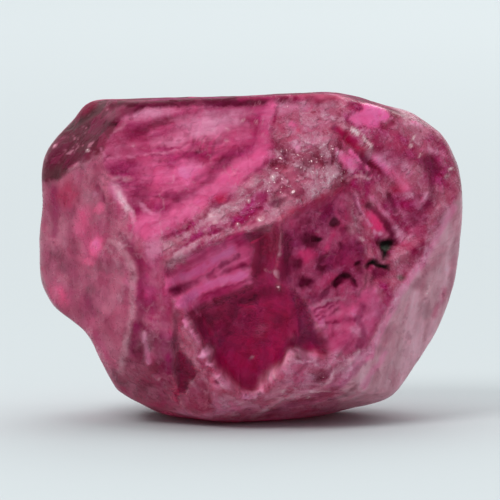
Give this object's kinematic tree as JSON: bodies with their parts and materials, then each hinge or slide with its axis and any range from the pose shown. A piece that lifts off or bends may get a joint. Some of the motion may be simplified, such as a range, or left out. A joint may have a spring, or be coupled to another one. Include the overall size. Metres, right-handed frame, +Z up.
{
  "type": "rough spinel crystal",
  "caption": "Rough pink spinel crystal: a broken, worn, many-faced stone with a deep red fracture window in front and a flat break to rest on.",
  "frame": {"origin": "under the middle of the stone's box, on the surface that it rests on", "axes": "+X to the stone's right as seen from its broken front, along its longest side; +Y to its back; +Z up"},
  "size_m": [0.006, 0.0044, 0.0047],
  "materials": {
    "pink_spinel": "clear magenta to deep red inside, frosted greyish pink on worn faces, with small dark grains"
  },
  "bodies": {
    "root": {"spinel_crystal": "pink_spinel"}
  },
  "joints": []
}
